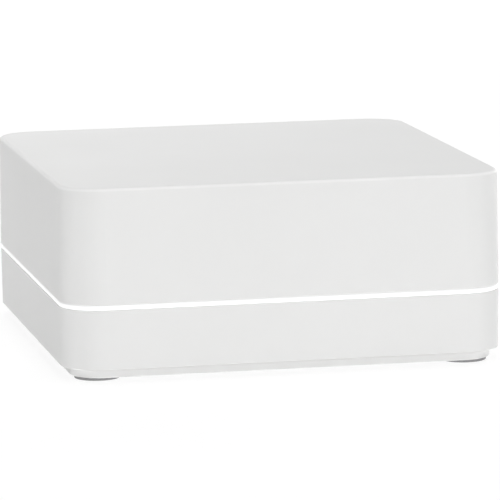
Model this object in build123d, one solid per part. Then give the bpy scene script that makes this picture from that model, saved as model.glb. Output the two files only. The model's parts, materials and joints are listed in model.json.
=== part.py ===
from build123d import *
from math import radians, sqrt, tan
import os

# A smart hub: a low white box of two shells with a light line between them, on a plinth and four feet.
# X runs across the front, the front faces -Y, Z is up, and z = 0 is the underside of the feet.
# Lengths are in mm and angles in degrees.

os.makedirs("parts", exist_ok=True)

# Casing
hub_width = 150.0
hub_depth = 157.5
corner_radius = 14.0
side_draft = 0.63
wall = 2.5
roof = 2.5
foot_show = 1.1
plinth_depth = 3.0
lower_side = 20.0
seam_gap = 1.75
upper_side = 38.8
top_edge_radius = 1.2
bottom_edge_radius = 0.5
rim_edge_radius = 0.35
opening_chamfer = 0.3

# Clearances
fit_gap = 0.15
slide_gap = 0.3
screw_gap = 0.05
through_gap = 0.3
cut_over = 1.0
weld = 1.0

# Light ring and light strips
ring_recess = 0.4
web_thickness = 1.6
web_overlap = 2.4
strip_thickness = 1.0
strip_height = 5.4
strip_end_gap = 11.0
diode_width = 3.5
diode_height = 2.8
diode_thickness = 1.2
diode_gap = 0.3
diode_pitch = 22.0
clip_length = 4.0
clip_wall = 1.2
clip_floor = 0.5
jumper_thickness = 0.3
jumper_height = 3.0
jumper_lap = 4.0

# Case screws, and the columns and bosses that they go through
screw_radius = 1.5
screw_length = 32.0
screw_head_radius = 2.9
screw_head_depth = 1.4
screw_head_sink = 0.1
socket_across = 2.0
socket_depth = 0.9
drive_sides = 6
column_radius = 4.0
column_clear = 0.75
column_gap = 0.1
pilot_spare = 2.0
gusset_thickness = 1.6
gusset_height = 14.0

# Lower shell
shelf_inset = 5.0
shelf_thickness = 2.0
patch_margin = 1.5
notch_wall = 3.0
notch_margin = 2.0

# Upper shell
rib_thickness = 1.2
rib_height = 3.0
rib_pitch = 38.0
ribs_each_way = 3

# Base plate and feet
plinth_inset = 3.0
plate_skin = 2.0
plate_rim = 3.0
plate_edge_radius = 0.4
pad_margin = 2.0
tab_length = 30.0
tab_thickness = 1.0
tab_height = 1.6
vent_width = 2.0
vent_length = 28.0
vent_pitch = 6.0
vents_in_row = 9
vent_row_offset = 20.0
foot_radius = 7.7
foot_recess = 1.0
foot_edge_radius = 0.3
foot_dish_radius = 5.2
foot_dish_depth = 0.3

# Main board and its screws
board_thickness = 1.6
board_side_margin = 23.0
board_rear_margin = 8.25
board_front_margin = 39.25
board_corner_radius = 2.0
board_screw_inset = 4.0
board_screw_rear = 20.0
board_screw_radius = 1.1
board_screw_head_radius = 2.3
board_screw_head_height = 1.5
board_screw_bite = 0.4
standoff_radius = 3.2
pilot_floor = 0.3

# Row of sockets and buttons along the back
row_end_margin = 8.0
jack_gap = 0.25
jack_headroom = 0.5
window_margin = 0.7
lan_width = 16.0
lan_height = 13.4
lan_depth = 15.9
shield_thickness = 0.3
lan_mouth_width = 11.9
lan_mouth_low = 3.4
lan_mouth_high = 11.0
lan_mouth_depth = 12.5
lan_latch_width = 6.2
lan_latch_low = 1.4
lan_contacts = 8
lan_contact_pitch = 1.02
lan_contact_size = 0.4
lan_contact_high = 10.4
lan_contact_low = 8.9
lan_contact_bend = 2.0
lan_contact_reach = 9.0
usb_width = 13.1
usb_height = 5.7
usb_depth = 14.0
usb_back = 3.5
usb_tongue_width = 11.1
usb_tongue_thickness = 1.84
usb_tongue_drop = 0.7
usb_tongue_recess = 1.2
usb_contacts = 4
usb_contact_pitch = 2.3
usb_contact_width = 1.0
usb_contact_thickness = 0.2
usb_contact_length = 7.5
inlet_width = 9.0
inlet_height = 11.0
inlet_depth = 14.4
inlet_axis = 6.5
inlet_bore_radius = 3.1
inlet_bore_depth = 10.5
inlet_pin_radius = 1.0
inlet_pin_recess = 1.0
inlet_slot_width = 2.0
inlet_slot_depth = 0.8
inlet_leaf_width = 1.6
inlet_leaf_thickness = 0.3
inlet_leaf_length = 8.0
inlet_window_radius = 4.6
button_radius = 3.5
button_lip = 0.9
button_flange = 1.0
button_recess = 0.3
button_dish_radius = 2.4
button_dish_depth = 0.2
button_stem_radius = 1.6
switch_width = 6.2
switch_height = 7.0
switch_depth = 4.2
switch_axis = 4.0
switch_overhang = 0.5
pairing_plunger_radius = 1.7
pairing_plunger_reach = 1.6
reset_plunger_radius = 1.0
reset_plunger_reach = 2.4
plunger_root = 1.0
plunger_room = 0.6
plunger_gap = 0.1
pinhole_radius = 1.0

# Processor and its cooling
processor_size = 14.0
processor_height = 1.2
processor_rear = 8.0
thermal_pad_height = 0.5
sink_size = 30.0
sink_base = 2.0
sink_height = 10.0
sink_fins = 8
sink_fin_thickness = 1.0

# Other chips on the board: width, depth and height of each
memory_size = (11.0, 9.0, 1.0)
storage_size = (13.0, 11.5, 1.0)
network_size = (7.0, 7.0, 0.9)
power_size = (6.0, 5.0, 1.5)
crystal_size = (11.5, 4.7, 3.5)
chip_column = 26.0
chip_row_gap = 3.0
inductor_size = 8.0
inductor_height = 4.0
inductor_cap_radius = 3.2
inductor_cap_height = 0.4
capacitor_radius = 4.0
capacitor_height = 8.0
capacitor_pitch = 10.0
capacitor_crimp = 0.4
capacitor_crimp_height = 1.2
passive_size = (1.6, 0.8, 0.6)
passive_pitch = 3.2
passives_in_row = 8
passive_row_gap = 3.0
power_group_rear = 31.0

# Coin cell
cell_radius = 10.0
cell_height = 3.2
cell_pole_height = 0.8
holder_wall = 1.5
holder_floor = 0.8
holder_height = 3.2
cell_front_inset = 17.0

# Radio boards and antennas
radio_width = 20.0
radio_depth = 16.0
radio_thickness = 0.8
radio_side_inset = 20.0
radio_front_inset = 11.0
radio_chip_size = 6.0
radio_chip_height = 0.9
shield_width = 12.0
shield_depth = 13.0
shield_height = 2.2
shield_offset = 2.0
can_thickness = 0.25
plug_radius = 1.25
plug_height = 1.2
plug_edge_inset = 2.5
antenna_length = 40.0
antenna_height = 12.0
antenna_thickness = 0.4
antenna_rise = 18.0
antenna_seat = 0.05
lead_radius = 0.66
lead_rise = 12.0
lead_approach = 22.0
lead_bend = 6.0

# Cable from the board to the rear light strip
header_width = 7.0
header_depth = 4.5
header_height = 5.0
header_side_inset = 9.5
header_rear_inset = 28.0
cable_width = 4.0
cable_thickness = 0.8
cable_bend = 3.0

# Levels, from the floor up
plate_bottom = foot_show
tray_floor = plate_bottom + plate_skin
lower_bottom = plate_bottom + plinth_depth
shelf_top = lower_bottom + shelf_thickness
seam_low = lower_bottom + lower_side
seam_high = seam_low + seam_gap
seam_middle = (seam_low + seam_high) / 2
hub_top = seam_high + upper_side
roof_inside = hub_top - roof
strip_bottom = seam_middle - strip_height / 2
strip_top = seam_middle + strip_height / 2
light_floor = min(seam_low - web_overlap, strip_bottom - clip_floor)
board_top = light_floor - jack_headroom - lan_height
board_bottom = board_top - board_thickness

# Insets from the outside of the casing at the seam
lean = tan(radians(side_draft))
web_outside = wall + fit_gap
web_inside = web_outside + web_thickness
strip_outside = web_inside + diode_gap + diode_thickness
strip_inside = strip_outside + strip_thickness
jumper_inside = strip_inside + jumper_thickness
column_room = jumper_inside + column_clear + column_radius
screw_inset = max(column_room, corner_radius - (corner_radius - column_room) / sqrt(2))
plate_inset = lower_side * lean + plinth_inset

# Main board
board_width = hub_width - 2 * board_side_margin
board_rear = hub_depth / 2 - board_rear_margin
board_front = -hub_depth / 2 + board_front_margin
board_depth = board_rear - board_front
board_middle = (board_rear + board_front) / 2
cell_y = board_front + cell_front_inset

# Back row, from left to right as seen from the front
button_flange_radius = button_radius + button_lip
row_widths = {
    "lan": lan_width,
    "usb": usb_width,
    "inlet": inlet_width,
    "pairing": 2 * button_flange_radius,
    "reset": switch_width,
}
row_length = board_width - 2 * row_end_margin
row_gap = (row_length - sum(row_widths.values())) / (len(row_widths) - 1)
button_axis = board_top + switch_axis
switch_front = board_rear + switch_overhang


def row_places():
    """The middle of each socket and button of the back row, along X."""
    places = {}
    edge = -row_length / 2
    for name, width in row_widths.items():
        places[name] = edge + width / 2
        edge += width + row_gap
    return places


def rear_inside(z):
    """Where the inner face of the lower shell's rear wall lies at height z."""
    return hub_depth / 2 - wall - lean * (seam_low - z)


def rear_outside(z):
    """Where the outer face of the lower shell's rear wall lies at height z."""
    return hub_depth / 2 - lean * (seam_low - z)


row = row_places()
mouth = rear_inside(board_top) - jack_gap
pairing_tip = switch_front + pairing_plunger_reach


def outline(inset):
    """The casing's outline at the seam, set in by inset."""
    return RectangleRounded(hub_width - 2 * inset, hub_depth - 2 * inset, corner_radius - inset)


def slab(inset, low, high):
    """An upright block of the casing's outline."""
    return extrude(Plane.XY.offset(low) * outline(inset), amount=high - low)


def holed_faces(piece):
    """The faces of a piece that have openings in them."""
    return piece.faces().filter_by(lambda face: len(face.inner_wires()) > 0)


def eased(face):
    """Chamfers the edges of the openings in one face of a piece."""
    edges = ShapeList([edge for wire in face.inner_wires() for edge in wire.edges()])
    return chamfer(edges, opening_chamfer)


def leaning(inset, seam, far):
    """A block from the seam to a far level, whose sides lean in with the draft."""
    direction = (0, 0, 1) if far > seam else (0, 0, -1)
    face = Plane.XY.offset(seam) * outline(inset)
    return extrude(face, amount=abs(far - seam), dir=direction, taper=side_draft)


def block(width, depth, low, high, x=0.0, y=0.0):
    """An upright box around (x, y), from one level to another."""
    return Pos(x, y, (low + high) / 2) * Box(width, depth, high - low)


def post(radius, low, high, x=0.0, y=0.0):
    """An upright cylinder at (x, y), from one level to another."""
    return Pos(x, y, (low + high) / 2) * Cylinder(radius, high - low)


def rod(radius, near, far, x, z):
    """A cylinder along Y, from one y to another."""
    return Pos(x, (near + far) / 2, z) * Rot(X=90) * Cylinder(radius, abs(far - near))


def hex_drive(across, low, high, x, y):
    """A six-sided socket of a given width across its flats, from one level to another."""
    face = Plane.XY.offset(low) * Pos(x, y) * RegularPolygon(across / 2, drive_sides, major_radius=False)
    return extrude(face, high - low)


def four_corners(inset_x, inset_y):
    """The four places that lie in from the sides of the casing."""
    x = hub_width / 2 - inset_x
    y = hub_depth / 2 - inset_y
    return {
        "front_left": (-x, -y),
        "front_right": (x, -y),
        "rear_left": (-x, y),
        "rear_right": (x, y),
    }


screw_places = four_corners(screw_inset, screw_inset)


def gussets(x, y, low, high):
    """Two ribs that join a column at (x, y) to the walls beside it."""
    reach_x = hub_width / 2 - wall - lean * abs(high - seam_middle) + weld
    reach_y = hub_depth / 2 - wall - lean * abs(high - seam_middle) + weld
    side = 1 if x > 0 else -1
    end = 1 if y > 0 else -1
    across = block(reach_x - abs(x), gusset_thickness, low, high, side * (reach_x + abs(x)) / 2, y)
    along = block(gusset_thickness, reach_y - abs(y), low, high, x, end * (reach_y + abs(y)) / 2)
    return across + along


def upper_shell():
    """The cover: roof and four walls, ribs under the roof, and a screw boss in each corner."""
    shell = leaning(0, seam_high, hub_top)
    shell = fillet(shell.edges().group_by(Axis.Z)[-1], top_edge_radius)
    shell = fillet(shell.edges().group_by(Axis.Z)[0], rim_edge_radius)
    cavity = leaning(wall, seam_high, roof_inside)
    shell -= cavity
    ribs = Part()
    for step in range(ribs_each_way):
        at = (step - (ribs_each_way - 1) / 2) * rib_pitch
        ribs += block(hub_width, rib_thickness, roof_inside - rib_height, roof_inside, 0, at)
        ribs += block(rib_thickness, hub_depth, roof_inside - rib_height, roof_inside, at, 0)
    shell += ribs & cavity
    boss_end = seam_middle + column_gap
    pilot_top = plate_bottom + foot_recess + screw_head_sink + screw_length + pilot_spare
    for x, y in screw_places.values():
        shell += post(column_radius, boss_end, roof_inside, x, y)
        shell += gussets(x, y, roof_inside - gusset_height, roof_inside)
        shell -= post(screw_radius + screw_gap, boss_end - cut_over, pilot_top, x, y)
    return shell


def rear_windows():
    """The holes in the rear wall for the sockets, the pairing button and the reset pin."""
    near = rear_inside(board_top) - wall
    far = hub_depth / 2 + cut_over
    depth = far - near
    middle = (far + near) / 2
    lan_low = board_top + lan_latch_low - window_margin
    lan_high = board_top + lan_mouth_high + window_margin
    usb_low = board_top - window_margin
    usb_high = board_top + usb_height + window_margin
    cuts = block(lan_mouth_width + 2 * window_margin, depth, lan_low, lan_high, row["lan"], middle)
    cuts += block(usb_width + 2 * window_margin, depth, usb_low, usb_high, row["usb"], middle)
    cuts += rod(inlet_window_radius, near, far, row["inlet"], board_top + inlet_axis)
    cuts += rod(button_radius + slide_gap, near, far, row["pairing"], button_axis)
    cuts += rod(pinhole_radius, near, far, row["reset"], button_axis)
    return cuts


def lower_shell():
    """The lower frame: four walls with a shelf inside their foot, corner columns and the rear windows."""
    shell = leaning(0, seam_low, lower_bottom)
    shell = fillet(shell.edges().group_by(Axis.Z)[0], bottom_edge_radius)
    shell = fillet(shell.edges().group_by(Axis.Z)[-1], rim_edge_radius)
    cavity = leaning(wall, seam_low, shelf_top)
    shell -= cavity
    opening = slab(shelf_inset, lower_bottom - cut_over, shelf_top + cut_over)
    patch = 2 * (screw_inset + column_radius + patch_margin)
    for x, y in four_corners(0, 0).values():
        opening -= block(patch, patch, lower_bottom - cut_over, shelf_top + cut_over, x, y)
    shell -= opening
    gusset_top = light_floor - clip_floor
    hole = screw_radius + through_gap
    for x, y in screw_places.values():
        shell += post(column_radius, lower_bottom, seam_middle, x, y)
        shell += gussets(x, y, lower_bottom, gusset_top)
        shell -= post(hole, lower_bottom - cut_over, seam_middle + cut_over, x, y)
    notch_near = hub_depth / 2 - shelf_inset - cut_over
    notch_far = hub_depth / 2 - notch_wall
    notch_width = row_length + 2 * notch_margin
    shell -= block(notch_width, notch_far - notch_near, lower_bottom - cut_over, shelf_top + cut_over,
                   0, (notch_near + notch_far) / 2)
    shell -= rear_windows()
    return eased(holed_faces(shell).sort_by(Axis.Y)[-1])


def strip_runs():
    """For each light strip: its length, and the turn about Z and the distance that place it."""
    front = hub_width - 2 * (corner_radius + strip_end_gap)
    side = hub_depth - 2 * (corner_radius + strip_end_gap)
    return {
        "front": (front, 0, hub_depth / 2),
        "right": (side, 90, hub_width / 2),
        "rear": (front, 180, hub_depth / 2),
        "left": (side, 270, hub_width / 2),
    }


def diode_steps(length):
    """The places of the diodes along a strip, either side of its middle."""
    each_side = int((length - diode_width) / 2 / diode_pitch)
    return [step * diode_pitch for step in range(-each_side, each_side + 1)]


def on_side(piece, turn):
    """Turns a piece made for the front side round to another side."""
    return Rot(Z=turn) * piece


def inward(face, near, far, width, low, high, along=0.0):
    """A box on the front side, from one inset to another behind the face at that distance."""
    return block(width, far - near, low, high, along, -face + (near + far) / 2)


def light_ring():
    """The light guide: a web behind both rims, an edge that shows between them, and strip clips."""
    web = slab(web_outside, seam_low - web_overlap, seam_high + web_overlap)
    web += slab(ring_recess, seam_low, seam_high)
    ring = web - slab(web_inside, light_floor - cut_over, strip_top + cut_over)
    for length, turn, face in strip_runs().values():
        last = max(diode_steps(length))
        for along in (-last + diode_pitch / 2, last - diode_pitch / 2):
            back = strip_inside + fit_gap + clip_wall
            clip = inward(face, web_inside, back, clip_length, strip_bottom - clip_floor, strip_top, along)
            clip -= inward(face, strip_outside - fit_gap, strip_inside + fit_gap, clip_length + cut_over,
                           strip_bottom, strip_top + cut_over, along)
            ring += on_side(clip, turn)
    return ring


def light_strip(side):
    """The narrow upright board of one light strip."""
    length, turn, face = strip_runs()[side]
    return on_side(inward(face, strip_outside, strip_inside, length, strip_bottom, strip_top), turn)


def diode_row(side):
    """The light-emitting diodes of one strip, facing the ring."""
    length, turn, face = strip_runs()[side]
    low = seam_middle - diode_height / 2
    high = seam_middle + diode_height / 2
    diodes = []
    for along in diode_steps(length):
        diode = inward(face, strip_outside - diode_thickness, strip_outside, diode_width, low, high, along)
        diodes.append(on_side(diode, turn))
    return diodes


def corner_jumpers():
    """Flat leads round three corners, each lying on the ends of two strips."""
    low = seam_middle - jumper_height / 2
    high = seam_middle + jumper_height / 2
    band = slab(strip_inside, low, high) - slab(jumper_inside, low - cut_over, high + cut_over)
    reach = 2 * (corner_radius + strip_end_gap + jumper_lap)
    corners = four_corners(0, 0)
    return [
        band & block(reach, reach, low - cut_over, high + cut_over, *corners[name])
        for name in ("rear_left", "front_left", "front_right")
    ]


def case_screws():
    """Four countersunk screws, heads down, from the base plate up into the bosses."""
    head = plate_bottom + foot_recess + screw_head_sink
    screws = []
    for x, y in screw_places.values():
        screw = post(screw_radius, head, head + screw_length, x, y)
        cone = Cone(screw_head_radius, screw_radius, screw_head_depth)
        screw += Pos(x, y, head + screw_head_depth / 2) * cone
        screws.append(screw - hex_drive(socket_across, head, head + socket_depth, x, y))
    return screws


def base_plate():
    """The plinth: a shallow tray with standoffs, foot recesses, screw holes, vents and locating tabs."""
    plate = slab(plate_inset, plate_bottom, lower_bottom)
    plate = fillet(plate.edges().group_by(Axis.Z)[0], plate_edge_radius)
    pocket = slab(plate_inset + plate_rim, tray_floor, lower_bottom + cut_over)
    for x, y in screw_places.values():
        pocket -= post(foot_radius + pad_margin, tray_floor - cut_over, lower_bottom + cut_over, x, y)
    plate -= pocket
    recess_top = plate_bottom + foot_recess
    for x, y in screw_places.values():
        plate -= post(foot_radius + fit_gap, plate_bottom - cut_over, recess_top, x, y)
        plate -= post(screw_radius + through_gap, plate_bottom, lower_bottom + cut_over, x, y)
        cone_height = screw_head_sink + screw_head_depth
        plate -= Pos(x, y, recess_top + cone_height / 2) * Cone(
            screw_head_radius + screw_gap + screw_head_sink, screw_radius + screw_gap, cone_height
        )
    for x, y in board_screw_places():
        plate += post(standoff_radius, tray_floor, board_bottom, x, y)
        tip = tray_floor - board_screw_bite - pilot_floor
        plate -= post(board_screw_radius + screw_gap, tip, board_bottom + cut_over, x, y)
    for step in range(vents_in_row):
        at = (step - (vents_in_row - 1) / 2) * vent_pitch
        for row_at in (board_middle - vent_row_offset, board_middle + vent_row_offset):
            slot = Plane.XY.offset(plate_bottom - cut_over) * Pos(at, row_at) * SlotOverall(
                vent_length, vent_width, rotation=90
            )
            plate -= extrude(slot, plate_skin + 2 * cut_over)
    tab_near = shelf_inset + fit_gap
    for side in ("front", "left", "right"):
        _, turn, face = strip_runs()[side]
        tab_top = lower_bottom + tab_height
        tab = inward(face, tab_near, tab_near + tab_thickness, tab_length, lower_bottom, tab_top)
        plate += on_side(tab, turn)
    return eased(holed_faces(plate).sort_by(Axis.Z)[0])


def foot(name):
    """One round rubber foot, set in its recess, with a shallow dish underneath."""
    x, y = screw_places[name]
    pad = post(foot_radius, 0, foot_show + foot_recess, x, y)
    pad = fillet(pad.edges().group_by(Axis.Z)[0], foot_edge_radius)
    return pad - post(foot_dish_radius, -cut_over, foot_dish_depth, x, y)


def board_screw_places():
    """The four places where the main board is screwed down."""
    x = board_width / 2 - board_screw_inset
    return [
        (side * x, y)
        for side in (-1, 1)
        for y in (board_front + board_screw_inset, board_rear - board_screw_rear)
    ]


def main_board():
    """The main circuit board, with its screw holes."""
    face = Plane.XY.offset(board_bottom) * Pos(0, board_middle) * RectangleRounded(
        board_width, board_depth, board_corner_radius
    )
    board = extrude(face, board_thickness)
    for x, y in board_screw_places():
        board -= post(board_screw_radius + through_gap, board_bottom - cut_over, board_top + cut_over, x, y)
    return board


def board_screws():
    """Four pan-head screws that hold the main board on its standoffs."""
    screws = []
    for x, y in board_screw_places():
        head_top = board_top + board_screw_head_height
        screw = post(board_screw_head_radius, board_top, head_top, x, y)
        screw += post(board_screw_radius, tray_floor - board_screw_bite, board_top, x, y)
        screws.append(screw - hex_drive(socket_across, head_top - socket_depth, head_top, x, y))
    return screws


def in_row(name, piece):
    """Puts a socket piece, made with its mouth at y = 0 on z = 0, in its place on the board."""
    return Pos(row[name], mouth, board_top) * piece


def lan_shield():
    """The folded metal shield round the network socket, open at its mouth."""
    outer = block(lan_width, lan_depth, 0, lan_height, 0, -lan_depth / 2)
    inner = block(lan_width - 2 * shield_thickness, lan_depth, shield_thickness,
                  lan_height - shield_thickness, 0, -lan_depth / 2 + shield_thickness)
    return in_row("lan", outer - inner)


def lan_insert():
    """The plastic insert of the network socket, with the cavity for the plug and its latch."""
    width = lan_width - 2 * shield_thickness
    depth = lan_depth - shield_thickness
    body = block(width, depth, shield_thickness, lan_height - shield_thickness, 0, -depth / 2)
    cavity_middle = (cut_over - lan_mouth_depth) / 2
    cavity_length = lan_mouth_depth + cut_over
    body -= block(lan_mouth_width, cavity_length, lan_mouth_low, lan_mouth_high, 0, cavity_middle)
    body -= block(lan_latch_width, cavity_length, lan_latch_low, lan_mouth_low + fit_gap, 0, cavity_middle)
    return in_row("lan", body)


def lan_contacts_row():
    """The bent spring contacts of the network socket."""
    start = (-lan_mouth_depth, lan_contact_high)
    bend = (-lan_mouth_depth + lan_contact_bend, lan_contact_high)
    tip = (-lan_mouth_depth + lan_contact_reach, lan_contact_low)
    profile = Plane.YZ * trace(Polyline(start, bend, tip), lan_contact_size)
    inside = block(lan_width, lan_mouth_depth, lan_mouth_low, lan_mouth_high, 0, -lan_mouth_depth / 2)
    contact = extrude(profile, amount=lan_contact_size / 2, both=True) & inside
    pins = []
    for step in range(lan_contacts):
        at = (step - (lan_contacts - 1) / 2) * lan_contact_pitch
        pins.append(in_row("lan", Pos(at, 0, 0) * contact))
    return pins


def usb_shield():
    """The metal shell of the USB port, open at its mouth."""
    outer = block(usb_width, usb_depth, 0, usb_height, 0, -usb_depth / 2)
    inner = block(usb_width - 2 * shield_thickness, usb_depth, shield_thickness,
                  usb_height - shield_thickness, 0, -usb_depth / 2 + shield_thickness)
    return in_row("usb", outer - inner)


def usb_tongue():
    """The plastic back and tongue of the USB port."""
    width = usb_width - 2 * shield_thickness
    rear = -usb_depth + shield_thickness
    high = usb_height - shield_thickness
    body = block(width, usb_back, shield_thickness, high, 0, rear + usb_back / 2)
    tongue_high = high - usb_tongue_drop
    tongue_length = -usb_tongue_recess - rear
    body += block(usb_tongue_width, tongue_length, tongue_high - usb_tongue_thickness, tongue_high,
                  0, rear + tongue_length / 2)
    return in_row("usb", body)


def usb_contacts_row():
    """The flat contacts under the tongue of the USB port."""
    high = usb_height - shield_thickness - usb_tongue_drop - usb_tongue_thickness
    rear = -usb_depth + shield_thickness + usb_back
    strips = []
    for step in range(usb_contacts):
        at = (step - (usb_contacts - 1) / 2) * usb_contact_pitch
        strip = block(usb_contact_width, usb_contact_length, high - usb_contact_thickness, high,
                      at, rear + usb_contact_length / 2)
        strips.append(in_row("usb", strip))
    return strips


def inlet_body():
    """The moulded body of the power inlet, with its round bore and the slot for the leaf."""
    body = block(inlet_width, inlet_depth, 0, inlet_height, 0, -inlet_depth / 2)
    body -= rod(inlet_bore_radius, -inlet_bore_depth, cut_over, 0, inlet_axis)
    slot_low = inlet_axis - inlet_bore_radius - inlet_slot_depth
    body -= block(inlet_slot_width, inlet_bore_depth + cut_over, slot_low, inlet_axis,
                  0, (cut_over - inlet_bore_depth) / 2)
    return in_row("inlet", body)


def inlet_pin():
    """The centre pin of the power inlet, with a rounded tip."""
    pin = rod(inlet_pin_radius, -inlet_bore_depth, -inlet_pin_recess, 0, inlet_axis)
    pin = fillet(pin.edges().group_by(Axis.Y)[-1], inlet_pin_radius / 2)
    return in_row("inlet", pin)


def inlet_leaf():
    """The contact leaf in the slot of the power inlet."""
    low = inlet_axis - inlet_bore_radius - inlet_slot_depth
    middle = -inlet_bore_depth + inlet_leaf_length / 2
    leaf = block(inlet_leaf_width, inlet_leaf_length, low, low + inlet_leaf_thickness, 0, middle)
    return in_row("inlet", leaf)


def switch_body(name, plunger_radius):
    """A side-push switch at the board's rear edge, with the bore for its plunger."""
    x = row[name]
    body = block(switch_width, switch_depth, board_top, board_top + switch_height,
                 x, switch_front - switch_depth / 2)
    floor = switch_front - plunger_root - plunger_room
    return body - rod(plunger_radius + plunger_gap, floor, switch_front + cut_over, x, button_axis)


def switch_plunger(name, plunger_radius, reach):
    """The plunger of a side-push switch."""
    near = switch_front - plunger_root
    return rod(plunger_radius, near, switch_front + reach, row[name], button_axis)


def pairing_button():
    """The keycap of the pairing button: a dished face, a lip inside the wall, and a stem."""
    x = row["pairing"]
    face = rear_outside(button_axis) - button_recess
    lip_rear = rear_inside(button_axis) - slide_gap
    lip_front = lip_rear - button_flange
    cap = rod(button_radius, lip_front, face, x, button_axis)
    cap = fillet(cap.edges().group_by(Axis.Y)[-1], rim_edge_radius)
    cap += rod(button_flange_radius, lip_front, lip_rear, x, button_axis)
    cap += rod(button_stem_radius, pairing_tip, lip_front, x, button_axis)
    return cap - rod(button_dish_radius, face - button_dish_depth, face + cut_over, x, button_axis)


def on_board(size, x, y):
    """A plain chip of a given width, depth and height, standing on the board."""
    width, depth, height = size
    return block(width, depth, board_top, board_top + height, x, board_middle + y)


def processor():
    """The processor package."""
    return on_board((processor_size, processor_size, processor_height), 0, processor_rear)


def thermal_pad():
    """The soft pad between the processor and its heat sink."""
    low = board_top + processor_height
    return block(processor_size, processor_size, low, low + thermal_pad_height,
                 0, board_middle + processor_rear)


def heat_sink():
    """The finned heat sink on the processor."""
    y = board_middle + processor_rear
    low = board_top + processor_height + thermal_pad_height
    sink = block(sink_size, sink_size, low, low + sink_base, 0, y)
    pitch = (sink_size - sink_fin_thickness) / (sink_fins - 1)
    for step in range(sink_fins):
        at = (step - (sink_fins - 1) / 2) * pitch
        sink += block(sink_fin_thickness, sink_size, low, low + sink_height, at, y)
    return sink


def memory_chips():
    """Two memory chips, one behind the other, to the right of the processor."""
    step = (memory_size[1] + chip_row_gap) / 2
    return [on_board(memory_size, chip_column, processor_rear + side * step) for side in (-1, 1)]


def storage_chip():
    """The storage chip, to the left of the processor."""
    return on_board(storage_size, -chip_column, processor_rear)


def network_chip():
    """The network chip, between the storage chip and the network socket."""
    y = processor_rear + (storage_size[1] + network_size[1]) / 2 + chip_row_gap
    return on_board(network_size, -chip_column, y)


def clock_crystal():
    """The clock crystal in its rounded can, in front of the storage chip."""
    width, depth, height = crystal_size
    y = board_middle + processor_rear - (storage_size[1] + depth) / 2 - chip_row_gap
    face = Plane.XY.offset(board_top) * Pos(-chip_column, y) * SlotOverall(width, depth)
    return extrude(face, height)


def power_chip():
    """The regulator behind the power inlet."""
    return on_board(power_size, row["inlet"], power_group_rear)


def power_inductor():
    """The power inductor: a square body with a round winding cap."""
    x = row["inlet"] + (power_size[0] + inductor_size) / 2 + chip_row_gap
    y = board_middle + power_group_rear
    top = board_top + inductor_height
    coil = block(inductor_size, inductor_size, board_top, top, x, y)
    return coil + post(inductor_cap_radius, top, top + inductor_cap_height, x, y)


def input_capacitors():
    """Two upright capacitors beside the power chip, each with a crimp round its foot."""
    x = row["inlet"] - power_size[0] / 2 - chip_row_gap - capacitor_radius
    cans = []
    for side in (0, 1):
        place = x - side * capacitor_pitch
        y = board_middle + power_group_rear
        can = post(capacitor_radius, board_top, board_top + capacitor_height, place, y)
        crimp_low = board_top + capacitor_crimp_height
        groove = post(capacitor_radius + cut_over, crimp_low, crimp_low + capacitor_crimp, place, y)
        groove -= post(capacitor_radius - capacitor_crimp, board_top, crimp_low + cut_over, place, y)
        cans.append(can - groove)
    return cans


def board_passives():
    """Rows of small passive components in front of the processor."""
    front = processor_rear - sink_size / 2
    chips = []
    for row_step in (1, 2):
        y = front - row_step * passive_row_gap
        for step in range(passives_in_row):
            x = (step - (passives_in_row - 1) / 2) * passive_pitch
            chips.append(on_board(passive_size, x, y))
    return chips


def coin_cell_holder():
    """The open round holder of the coin cell, with a finger gap at the front."""
    inner = cell_radius + fit_gap
    floor = board_top + holder_floor
    rim = floor + holder_height
    ring = post(inner + holder_wall, board_top, rim, 0, cell_y)
    ring -= post(inner, floor, rim + cut_over, 0, cell_y)
    return ring - block(cell_radius, cell_radius, floor, rim + cut_over, 0, cell_y - cell_radius)


def coin_cell():
    """The coin cell, with its narrower lower pole."""
    low = board_top + holder_floor
    cell = post(cell_radius - holder_wall, low, low + cell_pole_height, 0, cell_y)
    return cell + post(cell_radius, low + cell_pole_height, low + cell_height, 0, cell_y)


def radio_place(side):
    """The middle of a radio board: side is -1 on the left and 1 on the right."""
    x = side * (board_width / 2 - radio_side_inset)
    return x, board_front + radio_front_inset


def plug_place(side):
    """Where the antenna plug stands on a radio board."""
    x, y = radio_place(side)
    return x + side * (radio_width / 2 - plug_edge_inset), y


def radio_board(side):
    """A radio board, soldered flat on the main board."""
    x, y = radio_place(side)
    return block(radio_width, radio_depth, board_top, board_top + radio_thickness, x, y)


def radio_chip(side):
    """The radio chip under the shield can."""
    x, y = radio_place(side)
    low = board_top + radio_thickness
    x -= side * shield_offset
    return block(radio_chip_size, radio_chip_size, low, low + radio_chip_height, x, y)


def radio_shield(side):
    """The shield can over the radio chip, open underneath."""
    x, y = radio_place(side)
    low = board_top + radio_thickness
    high = low + shield_height
    x -= side * shield_offset
    can = block(shield_width, shield_depth, low, high, x, y)
    return can - block(shield_width - 2 * can_thickness, shield_depth - 2 * can_thickness,
                       low - cut_over, high - can_thickness, x, y)


def antenna_inside(side):
    """The inner face of an antenna that lies flat against the side wall of the upper shell."""
    top = seam_high + antenna_rise + antenna_height / 2
    outside = hub_width / 2 - lean * (top - seam_high) - wall - antenna_seat
    return side * (outside - antenna_thickness)


def antenna(side):
    """A flat antenna stuck to the inside of the upper shell's side wall."""
    _, y = plug_place(side)
    middle = seam_high + antenna_rise
    x = antenna_inside(side) + side * antenna_thickness / 2
    return block(antenna_thickness, antenna_length, middle - antenna_height / 2,
                 middle + antenna_height / 2, x, y)


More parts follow.
